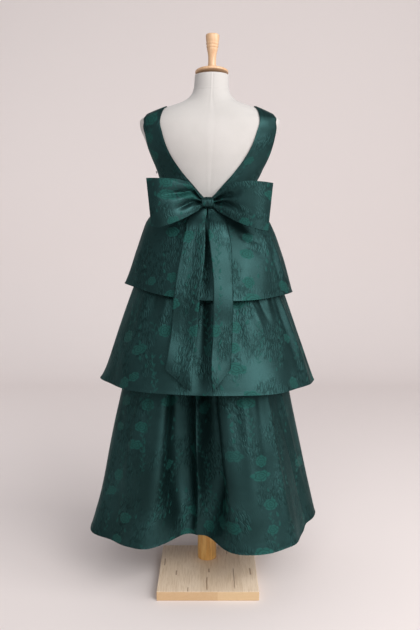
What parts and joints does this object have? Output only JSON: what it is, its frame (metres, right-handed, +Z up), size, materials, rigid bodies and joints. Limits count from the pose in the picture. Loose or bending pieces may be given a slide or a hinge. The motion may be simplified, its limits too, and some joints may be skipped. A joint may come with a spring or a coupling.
{
  "type": "jacquard dress on a limbless dress form",
  "caption": "Sleeveless dark green jacquard dress with a deep V back, flat bow and tiered bell skirt, worn on a limbless cloth dress form with a wooden pole and square base.",
  "frame": {"origin": "centre of the pole's foot on the underside of the base board", "axes": "+Z up the pole, -Y the way the back of the dress faces, +X to the wearer's right"},
  "size_m": [0.6647, 0.5518, 1.5407],
  "materials": {
    "green_jacquard": "satin ground with raised motifs",
    "form_cover": "matt cotton",
    "neck_wood": "clear varnish",
    "pole_wood": "satin varnish",
    "board_wood": "satin",
    "slider_metal": "satin grey"
  },
  "bodies": {
    "root": {"base_board": "board_wood", "pole": "pole_wood", "form_torso": "form_cover", "neck_cap": "neck_wood", "finial": "neck_wood", "bodice_front": "green_jacquard", "bodice_back_left": "green_jacquard", "bodice_back_right": "green_jacquard", "tier_1_front": "green_jacquard", "tier_1_back": "green_jacquard", "tier_2_front": "green_jacquard", "tier_2_back": "green_jacquard", "tier_3_front": "green_jacquard", "tier_3_back_left": "green_jacquard", "tier_3_back_right": "green_jacquard", "bow_loop_left": "green_jacquard", "bow_loop_right": "green_jacquard", "bow_knot": "green_jacquard", "bow_tail_left": "green_jacquard", "bow_tail_right": "green_jacquard", "zip_slider": "slider_metal"}
  },
  "joints": []
}
